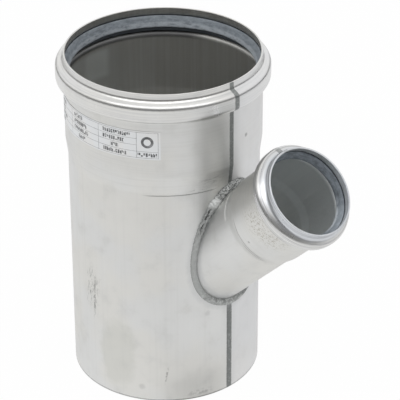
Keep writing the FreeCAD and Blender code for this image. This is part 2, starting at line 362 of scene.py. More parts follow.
def blot(pipe, angle, along, half_round, half_along, soft, uneven):
    """An uneven round patch, in millimetres about a place on the run."""
    x = (pipe.angle - angle) * (math.radians(1) * RUN_RADIUS / half_round)
    y = (pipe.along - along) * (1.0 / half_along)
    reach = (x * x + y * y).math("SQRT") + (uneven - 0.5) * 0.9
    return 1 - rise(reach, 1.0 - soft, 1.0 + soft)


def run_stains(pipe, wobble, fine, colour):
    stain = blot(pipe, -76.0, 27.5, 11.5, 23.0, 0.22, wobble) * pipe.outside
    colour = paint(colour, STAIN, stain * 0.38)
    colour = paint(colour, LILAC, near(pipe.angle, 26.0, 29.0, 4.0) * pipe.outside * 0.4)
    for angle, along, size, depth in SPOTS:
        spot = blot(pipe, angle, along, size, size, 0.6, fine) * pipe.outside
        colour = paint(colour, SCRATCH_AND_SHADE, spot * depth)
    return colour


# %% Nicks, scratches and a line of painted shade on the run
def run_scratches_and_shade(pipe, wobble, fine, smear):
    """A mask of thin dark marks, which also dent the surface, with one line of painted shade among them."""
    # a cluster of nicks on the left, with a broken line down its right side
    nicks = rise(clouds(pipe.wrapped(RUN_RADIUS, 0.9, 4.2), 1.0, 4.0, 0.75), 0.53, 0.60)
    slanted = pipe.angle + (wobble - 0.5) * 14.0
    left = nicks * near(slanted, -95.0, 4.6, 3.2) * near(pipe.along, 66.0, 12.0, 8.0)
    slanted = pipe.angle - (pipe.along - 60.0) * 0.08 + (wobble - 0.5) * 8.0 + (fine - 0.5) * 2.0
    line = near(slanted, -92.5, 0.50, 0.40) * near(pipe.along, 61.0, 11.0, 6.0)
    left = left + line * rise(fine, 0.32, 0.48)
    # one scratch near the foot
    slanted = pipe.angle - (pipe.along - 20.0) * 0.20 + (fine - 0.5) * 2.4
    low = near(slanted, -44.2, 0.40, 0.40) * near(pipe.along, 17.5, 4.5, 3.0) * rise(fine, 0.35, 0.6)
    # painted shade: a dark line along the bend that the expanding tool left, on the camera's side only
    edge = near(pipe.along + (wobble - 0.5) * 0.5, 137.7, 0.25, 0.22)
    ring = edge * near(pipe.angle, -35.0, 20.0, 4.0)
    # fine lines where the weld begins
    lines = rise(smear, 0.50, 0.62) * near(pipe.angle, -22.0, 9.0, 5.0)
    lines = lines * near(pipe.along, 138.6, 1.2, 1.2)
    return (left * 0.55 + low * 0.6 + ring * 0.7 + lines * 0.5) * pipe.outside


# %% Smears, grime and a painted reflection on the run
def run_wear_and_reflection(pipe, wobble, fine, smear):
    """A mask of broad grey marks and of a painted dark reflection low on the front, which only darken the
    surface.
    """
    beside_weld = near(pipe.angle, -17.0, 7.0, 6.0)
    smears = rise(smear, 0.42, 0.72) * beside_weld * near(pipe.along, 144.0, 2.5, 2.5)
    # painted reflection: the front is painted darker low down, most of all near the foot
    front = near(pipe.angle, -25.0, 18.0, 14.0)
    painted_foot_reflection = front * (1 - rise(pipe.along + wobble * 10.0, 14.0, 30.0))
    painted_low_reflection = front * (1 - rise(pipe.along + wobble * 8.0, 26.0, 52.0))
    grime = near(pipe.angle, -24.0, 7.0, 4.0) * near(pipe.along, 3.5, 1.5, 1.5) * rise(fine, 0.40, 0.60)
    foot_edge = 1 - rise(pipe.along + fine * 0.8, 0.7, 1.5)
    shades = smears * 0.55 + painted_low_reflection * 0.10 + painted_foot_reflection * 0.20 + grime * 0.30 + foot_edge * 0.50
    return shades * pipe.outside


# %% Painted reflection and painted shade inside the run
FAR_WALL_REFLECTION = (0.790, 0.805, 0.795)
REFLECTION_PATCH = (0.960, 0.990, 0.980)
GROOVE_SHADE = (0.220, 0.220, 0.220)


def run_inside(pipe, colour):
    """The far wall takes a painted pale reflection with a brighter patch, and painted shade lies along the
    groove's foot.
    """
    inside = 1 - pipe.outside
    # painted reflection: the far wall is painted lighter, most of all in one bluish patch
    painted_far_wall = near(pipe.angle, 180.0, 12.0, 12.0).math("MAXIMUM", near(pipe.angle, -180.0, 36.0, 12.0))
    painted_far_wall = painted_far_wall * (1 - rise(pipe.along, 179.0, 183.0))
    colour = paint(colour, FAR_WALL_REFLECTION, painted_far_wall * inside)
    painted_patch = near(abs(pipe.angle), 179.0, 8.0, 3.0) * near(pipe.along, 171.5, 8.5, 2.0)
    colour = paint(colour, REFLECTION_PATCH, painted_patch * inside * 0.9)
    # painted shade: a dark band along the groove's foot, under the seal's lip
    foot = near(pipe.along, 184.3, 1.9, 0.8) * (1 - near(pipe.angle, 88.0, 24.0, 10.0))
    return paint(colour, GROOVE_SHADE, foot * inside)


# %% All marks on the run
def run_marks(pipe, colour, roughness, height):
    wobble = clouds(pipe.place, 9.0, 3.0)
    fine = clouds(pipe.place, 1.8, 3.0)
    smear = clouds(pipe.wrapped(RUN_RADIUS, 5.0, 1.5), 1.0, 4.0, 0.7)
    colour = run_stains(pipe, wobble, fine, colour)
    colour = paint(colour, SCRATCH_AND_SHADE, run_wear_and_reflection(pipe, wobble, fine, smear))
    colour = run_inside(pipe, colour)
    scratches_and_shade = run_scratches_and_shade(pipe, wobble, fine, smear)
    colour = paint(colour, SCRATCH_AND_SHADE, scratches_and_shade)
    return colour, roughness + scratches_and_shade * 0.1, height - scratches_and_shade * 3.0


print("spots on the run:", len(SPOTS))

# %% Rings from the press, and the border of the branch weld
DRAWN = (0.480, 0.480, 0.500)


def pressed_rings(pipe, colour, roughness, height, start, bead_foot, contrast):
    """Fine rings round a socket, where the press and the rollers touched it."""
    formed = rise(pipe.along, start, start + 4.0) * pipe.outside
    bead = rise(pipe.along, bead_foot - 1.0, bead_foot + 1.0) * pipe.outside
    rings = clouds(vector(pipe.angle * 0.02, 0.0, pipe.along * 0.7), 1.0, 3.0, 0.6)
    colour = paint(colour, DULL, formed * (0.30 + rise(rings, 0.45, 0.70) * 0.35))
    drawn = clouds(vector(pipe.angle * 0.012, 0.0, pipe.along * 1.5), 1.0, 4.0, 0.7)
    colour = paint(colour, DRAWN, bead * rise(drawn, 0.46, 0.62) * contrast)
    height = height * (1 - bead * 0.7) + formed * rings * 0.5
    return colour, roughness - formed * 0.04 - bead * 0.13, height


def weld_heat(pipe, other, reach, colour):
    """The dull border that the branch weld's heat left: other is the second pipe's coordinates."""
    gap = other.radius - reach
    uneven = clouds(pipe.place, 3.0, 3.0) - 0.5
    edge = near(gap + uneven * 2.0, 2.6, 1.6, 1.2) * rise(other.along, 5.0, 15.0)
    return paint(colour, HEAT_GREY, edge * pipe.outside * 0.4)


# %% Finish of the run
# painted shade: the run's inside is darker and browner than its outside
RUN_INSIDE_SHADED, RUN_INSIDE_SHADED_PALE = (0.590, 0.585, 0.560), (0.650, 0.650, 0.632)
GRAIN_DEPTH = 0.012


def finish(shader, colour, roughness, normal):
    shader.inputs["Metallic"].default_value = 1.0
    connect(shader, Base_Color=colour, Roughness=roughness, Normal=normal)


run_look, begin, run_shader = new_material("pickled_run")
run = Pipe(begin, *RUN_AXIS)
made = bare_steel(run, RUN_RADIUS, RUN_INSIDE_SHADED, RUN_INSIDE_SHADED_PALE, inside_roughness=0.0)
made = pressed_rings(run, *made, start=139.0, bead_foot=184.0, contrast=0.40)
made = run_marks(run, *made)
# worn only from the mouth on, so the run's seam keeps its grey
colour, roughness, height = seam(run, RUN_RADIUS, *made, angle=-3.2, worn_from=RUN_MOUTH)
colour = weld_heat(run, Pipe(begin, *INLET_AXIS), INLET_RADIUS, colour)
wavy = bumped(clouds(run.place, 30.0, 2.0), depth=0.6)
finish(run_shader, colour, roughness, bumped(height, GRAIN_DEPTH, wavy))
print("run finish:", len(run_look.node_tree.nodes), "nodes")

# %% [markdown]
# ## The inlet
#
# The inlet is the same sheet, so it takes the same steps about its own leaning axis. Its seam lies
# on its upper side and starts past the weld.

# %% Scuffs, painted shade and a painted highlight on the inlet
SPECKLE = (0.430, 0.405, 0.350)
HIGHLIGHT_WHITE = (0.980, 0.980, 0.960)


def inlet_scuffs(pipe, wobble, colour):
    """A speckled patch, painted shade along the taper where the expanding tool stopped, and a painted
    highlight. Also gives two of the masks.
    """
    speckle = rise(clouds(pipe.wrapped(INLET_RADIUS, 1.3, 0.9), 1.0, 4.0, 0.7), 0.50, 0.62)
    zone = near(pipe.angle + wobble * 20.0, -78.0, 30.0, 18.0) * near(pipe.along, 136.5, 6.0, 5.0)
    colour = paint(colour, SPECKLE, speckle * zone * pipe.outside * 0.9)
    # painted shade: two fine dark lines along the taper's bends
    slanted = pipe.along + (pipe.angle + 107.0) * 0.045 + wobble * 0.6
    first = near(slanted, 119.2, 0.22, 0.22) * near(pipe.angle, -78.0, 30.0, 8.0)
    second = near(slanted, 117.6, 0.20, 0.20) * near(pipe.angle, -60.0, 18.0, 8.0)
    lines = (first + second) * pipe.outside
    colour = paint(colour, SCRATCH_AND_SHADE, lines * 0.6)
    dot = near(pipe.angle, -76.4, 1.2, 1.0) * near(pipe.along, 121.9, 0.5, 0.4) * pipe.outside
    colour = paint(colour, SCRATCH_AND_SHADE, dot * 0.6)
    # and a painted highlight, a thin pale line near the weld
    painted_highlight = near(pipe.along, 110.1, 0.34, 0.10) * near(pipe.angle, -136.0, 19.0, 3.0) * pipe.outside
    return paint(colour, HIGHLIGHT_WHITE, painted_highlight), lines, painted_highlight


# %% Film, painted reflection and grooves at the inlet's mouth
FILM_AND_REFLECTION = (0.620, 0.655, 0.700)
BLUISH = (0.640, 0.665, 0.700)
ROLLER_MARKS = (146.0, 148.6, 151.2, 152.6, 154.9, 156.4)


def collar_film_and_reflection(pipe, wobble, colour):
    """Lubricant, set to a bluish film inside the collar in rings, painted pale to stand in for the
    reflection of the light overhead, and a bluish tint on the collar. Also gives the film's mask.
    """
    rings = clouds(vector(pipe.angle * 0.02, 0.0, pipe.along * 1.8), 1.0, 4.0, 0.7)
    film = near(pipe.angle, 38.0, 60.0, 26.0) * rise(pipe.along, 150.5, 152.0) * (1 - pipe.outside)
    film = film * rise(rings, 0.35, 0.60)
    # painted reflection: the film's pale colour stands in for the reflection of the light overhead
    colour = paint(colour, FILM_AND_REFLECTION, film)
    bluish = rise(pipe.along + wobble, 152.5, 154.0)
    return paint(colour, BLUISH, bluish * (0.45 + pipe.outside * 0.35)), film


def rolled_grooves(pipe, wobble):
    """Fine grooves that the rollers drew round the bead and the collar."""
    grooves = 0.0
    for along in ROLLER_MARKS:
        grooves = near(pipe.along + wobble * 0.5, along, 0.16, 0.14) + grooves
    return grooves * pipe.outside * (0.4 + rise(abs(pipe.angle), 60.0, 110.0) * 0.6)


# %% All marks on the inlet
ROLLED = (0.330, 0.335, 0.350)


def inlet_marks(pipe, colour, roughness, height):
    """How far the surface is from bare metal, and its colour, roughness and height."""
    wobble = clouds(pipe.place, 7.0, 3.0) - 0.5
    colour, lines, painted_highlight = inlet_scuffs(pipe, wobble, colour)
    colour, film = collar_film_and_reflection(pipe, wobble, colour)
    rolled = rolled_grooves(pipe, wobble)
    colour = paint(colour, ROLLED, rolled * 0.65)
    scraped = near(pipe.along, 156.0, 0.45, 0.30) * near(pipe.angle, -118.0, 45.0, 20.0) * pipe.outside
    scraped = scraped * rise(clouds(pipe.place, 1.2, 2.0), 0.35, 0.50)
    height = height - lines * 1.5 - rolled * 3.0
    return painted_highlight.math("MAXIMUM", film * 0.8 + scraped * 0.8), (colour, roughness, height)


print("grooves round the inlet's mouth:", len(ROLLER_MARKS))

# %% Finish of the inlet
# painted light: the inlet's inside is paler than its outside
INLET_INSIDE_LIT, INLET_INSIDE_LIT_PALE = (0.815, 0.838, 0.842), (0.840, 0.860, 0.860)

inlet_look, begin, inlet_shader = new_material("pickled_inlet")
inlet = Pipe(begin, *INLET_AXIS)
made = bare_steel(inlet, INLET_RADIUS, INLET_INSIDE_LIT, INLET_INSIDE_LIT_PALE, inside_roughness=0.14)
made = pressed_rings(inlet, *made, start=112.0, bead_foot=145.0, contrast=0.75)
film_scrapes_and_painted_light, made = inlet_marks(inlet, *made)
turned_over = Pipe(begin, INLET_FOOT, INLET_ALONG, -INLET_UNDER)
colour, roughness, height = seam(turned_over, INLET_RADIUS, *made, angle=0.0, worn_from=143.0)
colour = weld_heat(inlet, Pipe(begin, *RUN_AXIS), RUN_RADIUS, colour)
wavy = bumped(clouds(inlet.place, 18.0, 2.0), depth=0.3)
finish(inlet_shader, colour, roughness, bumped(height, GRAIN_DEPTH, wavy))
# less metal where the film with its painted reflection, the scrapes and the painted highlight lie
connect(inlet_shader, Metallic=1 - film_scrapes_and_painted_light)
print("inlet finish:", len(inlet_look.node_tree.nodes), "nodes")

# %% Putting the steel on the pipes
def dress(obj, material):
    obj.data.materials.clear()
    obj.data.materials.append(material)


dress(nodes["run_pipe"], run_look)
dress(nodes["branch_pipe"], inlet_look)

# %% [markdown]
# ## The branch weld
#
# This bead was laid by hand. It is a plain grey band round the sides and the heel, and it turns
# rough in the crotch, where there was little room: a blob, small craters and dark notches.
# The solid is a smooth ring, so this piece stands in for it. The ring is swept round the corner
# between the pipes, each cross-section is pushed out by noise that is seeded by its place, and
# whatever would lie inside a pipe is pulled back to just under that pipe's surface.

# %% Path and size of the bead
SIDE, HEEL, CROTCH = 2.4, 2.5, 3.9
HEEL_SHIFT, CROTCH_SHIFT = 0.6, 2.2
SINK = 0.8  # how deep the middle of the bead lies
TUCK = 0.12  # how far hidden skin stays under a pipe's surface


def shares(turn):
    """How much a place round the inlet belongs to the heel and to the crotch."""
    return max(math.cos(turn), 0.0) ** 2, max(-math.cos(turn), 0.0) ** 2


def bead_middle(turn):
    heel, crotch = shares(turn)
    off = INLET_RADIUS + heel * HEEL_SHIFT + crotch * CROTCH_SHIFT
    aside = off * math.sin(turn)
    outward = math.sqrt((RUN_RADIUS - SINK) ** 2 - aside**2)
    along = (outward - off * math.cos(turn) * math.cos(LEAN)) / math.sin(LEAN)
    up = along * math.cos(LEAN) - off * math.cos(turn) * math.sin(LEAN)
    return Vector((outward, aside, CROSSING + up))


def bead_radius(turn):
    heel, crotch = shares(turn)
    return SIDE + heel * (HEEL - SIDE) + crotch * (CROTCH - SIDE)


def outside_pipes(point):
    """Pull a point that lies inside a pipe back to just under its surface."""
    flat = Vector((point.x, point.y, 0.0))
    if flat.length < RUN_RADIUS - TUCK:
        flat = flat.normalized() * (RUN_RADIUS - TUCK)
        point = Vector((flat.x, flat.y, point.z))
    on_axis = INLET_FOOT + INLET_ALONG * (point - INLET_FOOT).dot(INLET_ALONG)
    off = point - on_axis
    if off.length < INLET_RADIUS - TUCK:
        point = on_axis + off.normalized() * (INLET_RADIUS - TUCK)
    return point


# %% Sweeping the bead
AROUND = 540
ACROSS = 36
STEP = 0.001  # radians, to find the way forward
BLOB_TURN, BLOB_REACH = math.radians(212), 0.08
NOTCH_TURN, NOTCH_REACH = math.radians(224), 0.24
ROUGH_SHIFT = math.radians(18)


def roughness_of_bead(turn):
    """Smooth at the sides and heel, rough in the crotch and down its near side."""
    crotch = max(0.0, -math.cos(turn - ROUGH_SHIFT))
    return 0.10 + 0.55 * crotch**3


def skin(turn, spin):
    """One point of the bead's skin."""
    middle = bead_middle(turn)
    forward = (bead_middle(turn + STEP) - bead_middle(turn - STEP)).normalized()
    outward = Vector((middle.x, middle.y, 0.0))
    outward = (outward - forward * outward.dot(forward)).normalized()
    aside = forward.cross(outward)
    direction = outward * math.cos(spin) + aside * math.sin(spin)
    place = middle + direction * bead_radius(turn)
    lumps = noise.fractal(place * 0.9, 0.8, 2.0, 4) + 0.6 * noise.noise(place * 0.35)
    ripple = 0.05 * math.sin(turn * 150 + 2.5 * math.cos(spin))
    blob = 0.9 * math.exp(-(((turn - BLOB_TURN) / BLOB_REACH) ** 2))
    notched = math.exp(-(((turn - NOTCH_TURN) / NOTCH_REACH) ** 2))
    notches = notched * (0.9 * noise.fractal(place * 1.3, 0.7, 2.0, 3) - 0.35)
    grown = bead_radius(turn) + roughness_of_bead(turn) * lumps + ripple + blob + notches
    return outside_pipes(middle + direction * grown)


def ring_mesh(name, rows):
    """A closed ring of quads from rows of points, each row a closed section."""
    count, width = len(rows), len(rows[0])
    points = [p * MM for row in rows for p in row]
    faces = []
    for i in range(count):
        for j in range(width):
            a, b = i * width + j, i * width + (j + 1) % width
            c, d = ((i + 1) % count) * width + (j + 1) % width, ((i + 1) % count) * width + j
            faces.append((a, b, c, d))
    mesh = bpy.data.meshes.new(name)
    mesh.from_pydata(points, [], faces)
    mesh.update()
    mesh.shade_smooth()
    obj = bpy.data.objects.new(name, mesh)
    bpy.context.scene.collection.objects.link(obj)
    return obj


turns = [2 * math.pi * i / AROUND for i in range(AROUND)]
spins = [2 * math.pi * j / ACROSS for j in range(ACROSS)]
weld = ring_mesh("weld_bead", [[skin(turn, spin) for spin in spins] for turn in turns])
print("weld bead:", len(weld.data.polygons), "faces")

# %% [markdown]
# The bead's grey is darker than the sheet and duller. Its edges are darker still, most of all along
# the run, and we can find them without a map: an edge is where the bead is hardly higher than the run
# or than the inlet, and those heights are the distances from the two axes.

# %% Masks on the weld
weld_look, begin, weld_shader = new_material("pickled_weld")
over_run = Pipe(begin, *RUN_AXIS)
over_inlet = Pipe(begin, *INLET_AXIS)
uneven = clouds(over_run.place, 1.6, 3.0) - 0.5
patches = clouds(over_run.place, 3.0, 3.0)
mottle = clouds(over_run.place, 1.9, 4.0, 0.65)
fine = clouds(over_run.place, 0.8, 3.0, 0.7)
run_edge = 1 - rise(over_run.radius + uneven * 0.5, RUN_RADIUS + 0.1, RUN_RADIUS + 0.6)
inlet_edge = 1 - rise(over_inlet.radius + uneven * 0.5, INLET_RADIUS + 0.1, INLET_RADIUS + 0.6)
crotch = rise(abs(over_inlet.angle), 125.0, 160.0)
heel = 1 - rise(abs(over_inlet.angle), 40.0, 65.0)
tip = near(over_inlet.angle, 24.0, 14.0, 9.0)
blob = near(over_inlet.angle + uneven * 4.0, -147.5, 5.5, 2.0)

# dark notches, drawn out along the bead, on the side of its ridge that faces the run
across = over_inlet.radius - over_run.radius * 0.5
drawn_out = vector(over_inlet.angle * 0.22, across * 1.3, 0.0)
ridge = (over_run.radius - RUN_RADIUS) - (over_inlet.radius - INLET_RADIUS)
notched = near(over_inlet.angle, -131.0, 12.0, 5.0) * near(ridge + uneven * 1.5, -0.9, 0.8, 0.4)
notches = rise(clouds(drawn_out, 1.0, 3.0, 0.6), 0.47, 0.51) * notched
print("weld masks:", len(weld_look.node_tree.nodes), "nodes")

# %% Finish of the weld
WELD_GREY = (0.440, 0.452, 0.443)
WELD_PALE = (0.720, 0.735, 0.725)
WELD_DARK = (0.080, 0.084, 0.082)
WELD_METALLIC = 0.45  # oxide covers about half of the metal
WELD_DEPTH = 0.14

pale = rise(mottle, 0.42, 0.66) * (0.20 + crotch * 0.2 + heel * 0.6) + rise(fine, 0.50, 0.62) * crotch
colour = paint(WELD_GREY, WELD_PALE, pale.math("MINIMUM", 1.0).math("MAXIMUM", blob * 0.85))
speckle = rise(1 - fine, 0.46, 0.58) * (crotch + heel * 0.35) * (1 - blob)
dull = rise(patches, 0.50, 0.60) * heel
crust = crotch * (1 - blob) * 0.22
dark = run_edge * 0.28 + inlet_edge * 0.05 + speckle * 0.60 + tip * 0.15 + dull * 0.30 + crust
dark = dark.math("MAXIMUM", notches).math("MINIMUM", 1.0)
colour = paint(colour, WELD_DARK, dark)
bumps = (mottle + fine * crotch) * (1 - blob * 0.8) - notches * 2.0
finish(weld_shader, colour, 0.48 + mottle * 0.14, bumped(bumps, WELD_DEPTH))
weld_shader.inputs["Metallic"].default_value = WELD_METALLIC
dress(weld, weld_look)
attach(weld, "root")
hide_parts("branch_weld")
print("weld finish:", len(weld_look.node_tree.nodes), "nodes")

# %% [markdown]
# ## The rubber seals
#
# Each socket holds a rubber ring in its bead. The solid shows it folded back, as a pushed-in pipe
# leaves it. In the photograph no pipe is in, so the lip stands free: it slopes in and down from the
# collar and ends in a rounded edge. We give the ring's outline as a few points and turn it about
# the axis. Subdivision rounds it, and a slight waver keeps it from looking machined.

# %% Turning a seal
SEGMENTS = 144


def seal(name, outline, foot, along, start, waver):
    """outline: (distance from the axis, along the axis) in millimetres, lip points last."""
    aside = along.cross(start)
    rows = []
    for i in range(SEGMENTS):
        turn = 2 * math.pi * i / SEGMENTS
        direction = start * math.cos(turn) + aside * math.sin(turn)
        sway = noise.noise(direction * 1.7) + 0.4 * noise.noise(direction * 6.0)
        row = []
        for radius, height, free in outline:
            lip = waver * free * sway
            row.append(foot + direction * (radius + lip) + along * (height + lip))
        rows.append(row)
    obj = ring_mesh(name, rows)
    rounded = obj.modifiers.new("rounded", "SUBSURF")
    rounded.levels = rounded.render_levels = 2
    return obj


# radius, height and how freely the point may waver, once round the section
RUN_SEAL = (
    (55.15, 196.10, 0.0), (56.00, 196.10, 0.0), (57.00, 195.35, 0.0), (58.30, 194.75, 0.0),
    (59.20, 193.70, 0.0), (59.65, 192.40, 0.0), (59.65, 188.60, 0.0), (59.20, 187.15, 0.0),
    (58.20, 186.50, 0.0), (57.00, 185.95, 0.0), (56.40, 185.90, 0.0), (56.20, 186.40, 0.0),
    (56.50, 188.50, 0.0), (56.60, 190.80, 0.0), (56.00, 192.40, 0.1), (55.00, 192.00, 0.4),
    (53.90, 190.70, 0.9), (53.10, 189.95, 1.0), (52.60, 189.85, 1.0), (52.35, 190.30, 1.0),
    (52.70, 191.40, 0.9), (53.40, 193.00, 0.7), (54.20, 194.70, 0.4), (54.80, 195.80, 0.1),
)
INLET_SEAL = (
    (25.15, 153.25, 0.0), (25.90, 153.10, 0.0), (26.80, 152.30, 0.0), (28.00, 151.60, 0.0),
    (28.80, 150.60, 0.0), (29.10, 149.60, 0.0), (29.10, 148.90, 0.0), (28.70, 147.70, 0.0),
    (27.80, 147.10, 0.0), (26.80, 146.75, 0.0), (26.20, 146.70, 0.0), (26.00, 147.20, 0.0),
    (26.15, 148.60, 0.0), (26.10, 149.70, 0.0), (25.60, 150.50, 0.1), (24.90, 150.20, 0.4),
    (24.10, 149.20, 0.9), (23.50, 148.60, 1.0), (23.00, 148.40, 1.0), (22.80, 148.80, 1.0),
    (23.10, 149.80, 0.9), (23.70, 151.10, 0.7), (24.30, 152.30, 0.4), (24.80, 153.05, 0.1),
)
run_seal = seal("run_lip_seal", RUN_SEAL, *RUN_AXIS, waver=0.20)
inlet_seal = seal("inlet_lip_seal", INLET_SEAL, *INLET_AXIS, waver=0.12)
print("outlines:", len(RUN_SEAL), "and", len(INLET_SEAL), "points, turned in", SEGMENTS, "steps")

# %% [markdown]
# The rubber is a dark blue-grey. Talc and lubricant have dried on it in pale, cloudy smears that
# follow the ring, and the moulding left faint rings round the lip. A painted highlight runs along
# the lip's edge where the talc is palest.

# %% Finish of the rubber
RUBBER = (0.050, 0.060, 0.072)
TALC = (0.430, 0.480, 0.530)
LIP_HIGHLIGHT = (0.640, 0.680, 0.720)
DUST_DEPTH = 0.05


def rubber(name, axis, radius, lip, chalky, amount):
    """lip: where talc ends near the tip. chalky: middle and half width of the palest stretch."""
    look, begin, shader = new_material(name)
    ring = Pipe(begin, *axis)
    smears = clouds(ring.wrapped(radius, 4.5, 1.6), 1.0, 4.0, 0.65)
    dust = clouds(ring.place, 1.1, 3.0, 0.7)
    shown = rise(ring.along, lip, lip + 0.6) * (1 - ring.outside)
    most = near(ring.angle, *chalky, chalky[1])
    lines = clouds(vector(ring.angle * 0.01, 0.0, ring.along * 2.5), 1.0, 2.0)
    talc = 0.16 + rise(smears, 0.30, 0.70) * (0.30 + dust * 0.8) * 0.46 + most * amount
    colour = paint(RUBBER, TALC, (talc * (0.15 + shown * 0.85)).math("MINIMUM", 1.0))
    # painted highlight: a pale line along the lip's edge, strongest where the talc is palest
    lip_highlight = (1 - rise(ring.radius, radius - 1.9, radius - 1.5)) * rise(smears, 0.30, 0.50)
    colour = paint(colour, LIP_HIGHLIGHT, lip_highlight * most * amount * 2.0)
    roughness = 0.42 + smears * 0.25
    connect(shader, Base_Color=colour, Roughness=roughness, Normal=bumped(dust + lines, DUST_DEPTH))
    return look


seals = (
    (run_seal, "run", (RUN_AXIS, RUN_RADIUS, 189.6, (0.0, 180.0), 0.19)),
    (inlet_seal, "branch", (INLET_AXIS, INLET_RADIUS, 148.2, (30.0, 22.0), 0.50)),
)
for obj, which, talc in seals:
    dress(obj, rubber(f"{which}_rubber_look", *talc))
    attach(obj, "root")
    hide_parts(f"{which}_seal")
    print(obj.name, "has", len(obj.data.polygons), "faces before rounding")

# %% [markdown]
# ## The type label
#
# A strip of clear film is stuck round the socket and ruled into cells. Each cell holds a short dark
# bar, and the tall one a plain ring. A picture wrapped round the socket could hold them, but boxes in
# degrees and millimetres stay sharp and need no file. Noise breaks each bar up into small blocks, so
# from a step away it looks like worn ink and not like a solid stripe.

# %% Cells of the label
# edges of the columns in degrees, from the right, and of the rows in millimetres, from the bottom
COLUMNS = (-47.9, -60.1, -84.2, -108.7, -133.0)
ROWS = (162.1, 166.0, 169.9, 173.8, 177.7)
RULE_HALF_ANGLE = 0.16
RULE_HALF_HEIGHT = 0.14
FRAME_SPARE = 0.2


def within(value, low, high):
    return value.math("COMPARE", (low + high) / 2, abs(high - low) / 2)


label_look, begin, label_shader = new_material("label_film_look")
strip = Pipe(begin, *RUN_AXIS)
rules = None
for row in ROWS:
    rule = within(strip.along, row - RULE_HALF_HEIGHT, row + RULE_HALF_HEIGHT)
    rules = rules.math("MAXIMUM", rule) if rules else rule
# the right column is one tall cell above its lowest row
tall_cell = within(strip.angle, COLUMNS[1], COLUMNS[0])
tall_cell = tall_cell * within(strip.along, ROWS[1] + 0.3, ROWS[-1] - 0.3)
rules = rules * (1 - tall_cell)
for column in COLUMNS:
    rule = within(strip.angle, column - RULE_HALF_ANGLE, column + RULE_HALF_ANGLE)
    rules = rules.math("MAXIMUM", rule)
rules = rules * within(strip.angle, COLUMNS[-1] - FRAME_SPARE, COLUMNS[0] + FRAME_SPARE)
rules = rules * within(strip.along, ROWS[0] - FRAME_SPARE, ROWS[-1] + FRAME_SPARE)
print("label cells:", len(COLUMNS) - 1, "columns and", len(ROWS) - 1, "rows")

# %% Bars in the cells
# each bar's cell, by the number of its right edge and of its row, and which share of it is filled
BARS = (
    (1, 3, 0.12, 0.84), (1, 2, 0.12, 0.70), (1, 1, 0.34, 0.54), (1, 0, 0.14, 0.76),
    (2, 3, 0.12, 0.46), (2, 2, 0.12, 0.62), (2, 1, 0.12, 0.66), (2, 0, 0.30, 0.56),
    (3, 3, 0.20, 0.60), (3, 2, 0.20, 0.50), (3, 1, 0.20, 0.64), (3, 0, 0.20, 0.44),
    (0, 0, 0.04, 0.94),
)
BAR_HALF = 1.15
BLOCK_ANGLE = 1.38  # degrees from one small block of a bar to the next
BLOCK_HEIGHT = 3.9
STROKE_HEIGHT = 0.78


def dice(across, up):
    """A random number for each small box of this many degrees by millimetres."""
    boxes = vector((strip.angle / across).math("FLOOR"), (strip.along / up).math("FLOOR"), 0.0)
    return boxes.node("ShaderNodeTexWhiteNoise", {"noise_dimensions": "2D"}, {"Vector": boxes})


bars = None
for column, row, left, right in BARS:
    wide = COLUMNS[column + 1] - COLUMNS[column]
    first, last = (COLUMNS[column + 1] - wide * share for share in (left, right))
    middle = (ROWS[row] + ROWS[row + 1]) / 2
    bar = within(strip.angle, first, last) * within(strip.along, middle - BAR_HALF, middle + BAR_HALF)
    bars = bars.math("MAXIMUM", bar) if bars else bar
blocks = within((strip.angle / BLOCK_ANGLE).math("FRACT"), 0.24, 1.0)
inked = dice(BLOCK_ANGLE, BLOCK_HEIGHT).math("GREATER_THAN", 0.07)
strokes = dice(BLOCK_ANGLE / 3, STROKE_HEIGHT).math("GREATER_THAN", 0.13)
bars = bars * blocks * inked * strokes
print("bars on the label:", len(BARS))

# %% Finish of the label
FILM, FILM_WARM = (0.785, 0.800, 0.812), (0.79, 0.79, 0.785)
INK = (0.030, 0.032, 0.036)
LABEL_RADIUS = 56.5
FILM_DEPTH = 0.03

x = (strip.angle - (COLUMNS[0] + COLUMNS[1]) / 2) * (math.radians(1) * LABEL_RADIUS)
y = strip.along - (ROWS[1] + ROWS[-1]) / 2
plain_ring = within((x * x + y * y).math("SQRT"), 2.0, 3.5)
worn = clouds(strip.place, 2.6, 4.0, 0.65)
ink = rules * 0.55 + bars * 0.95 + plain_ring * 0.90
ink = ink.math("MINIMUM", 1.0) * (0.70 + rise(worn, 0.35, 0.6) * 0.30)
film = paint(FILM, FILM_WARM, rise(clouds(strip.place, 14.0, 3.0), 0.4, 0.6))
colour = paint(film, INK, ink)
roughness = 0.34 + worn * 0.12
normal = bumped(worn, FILM_DEPTH)
connect(label_shader, Base_Color=colour, Metallic=1 - ink, Roughness=roughness, Normal=normal)
dress(nodes["type_label"], label_look)
print("label finish:", len(label_look.node_tree.nodes), "nodes")

# %% [markdown]
# ## Floor, world and lamps
#
# Metal mirrors what is round it, so most of its look is the light. Here the world is white for the
# camera and for reflections, with a long softbox overhead for the bright lines on the shoulders.
# The floor glows in the camera's eyes so that it meets the white of the world, and less so in
# reflections on the right, which darkens that side of the steel. Under the run it doesn't glow,
# because the pipe keeps that light out.

# %% What a ray is for
WHITE = (1.0, 1.0, 1.0, 1.0)


def seen_directly(begin):
    """1 for rays from the camera, from a reflection or through glass."""
    rays = ("Is Camera Ray", "Is Glossy Ray", "Is Transmission Ray")
    first, second, third = (begin.node("ShaderNodeLightPath", out=ray) for ray in rays)
    return first.math("MAXIMUM", second).math("MAXIMUM", third)


def surface(look, value):
    """Send a mix or a glow to the material's output."""
    look.node_tree.links.new(value.socket, look.node_tree.nodes["Material Output"].inputs["Surface"])


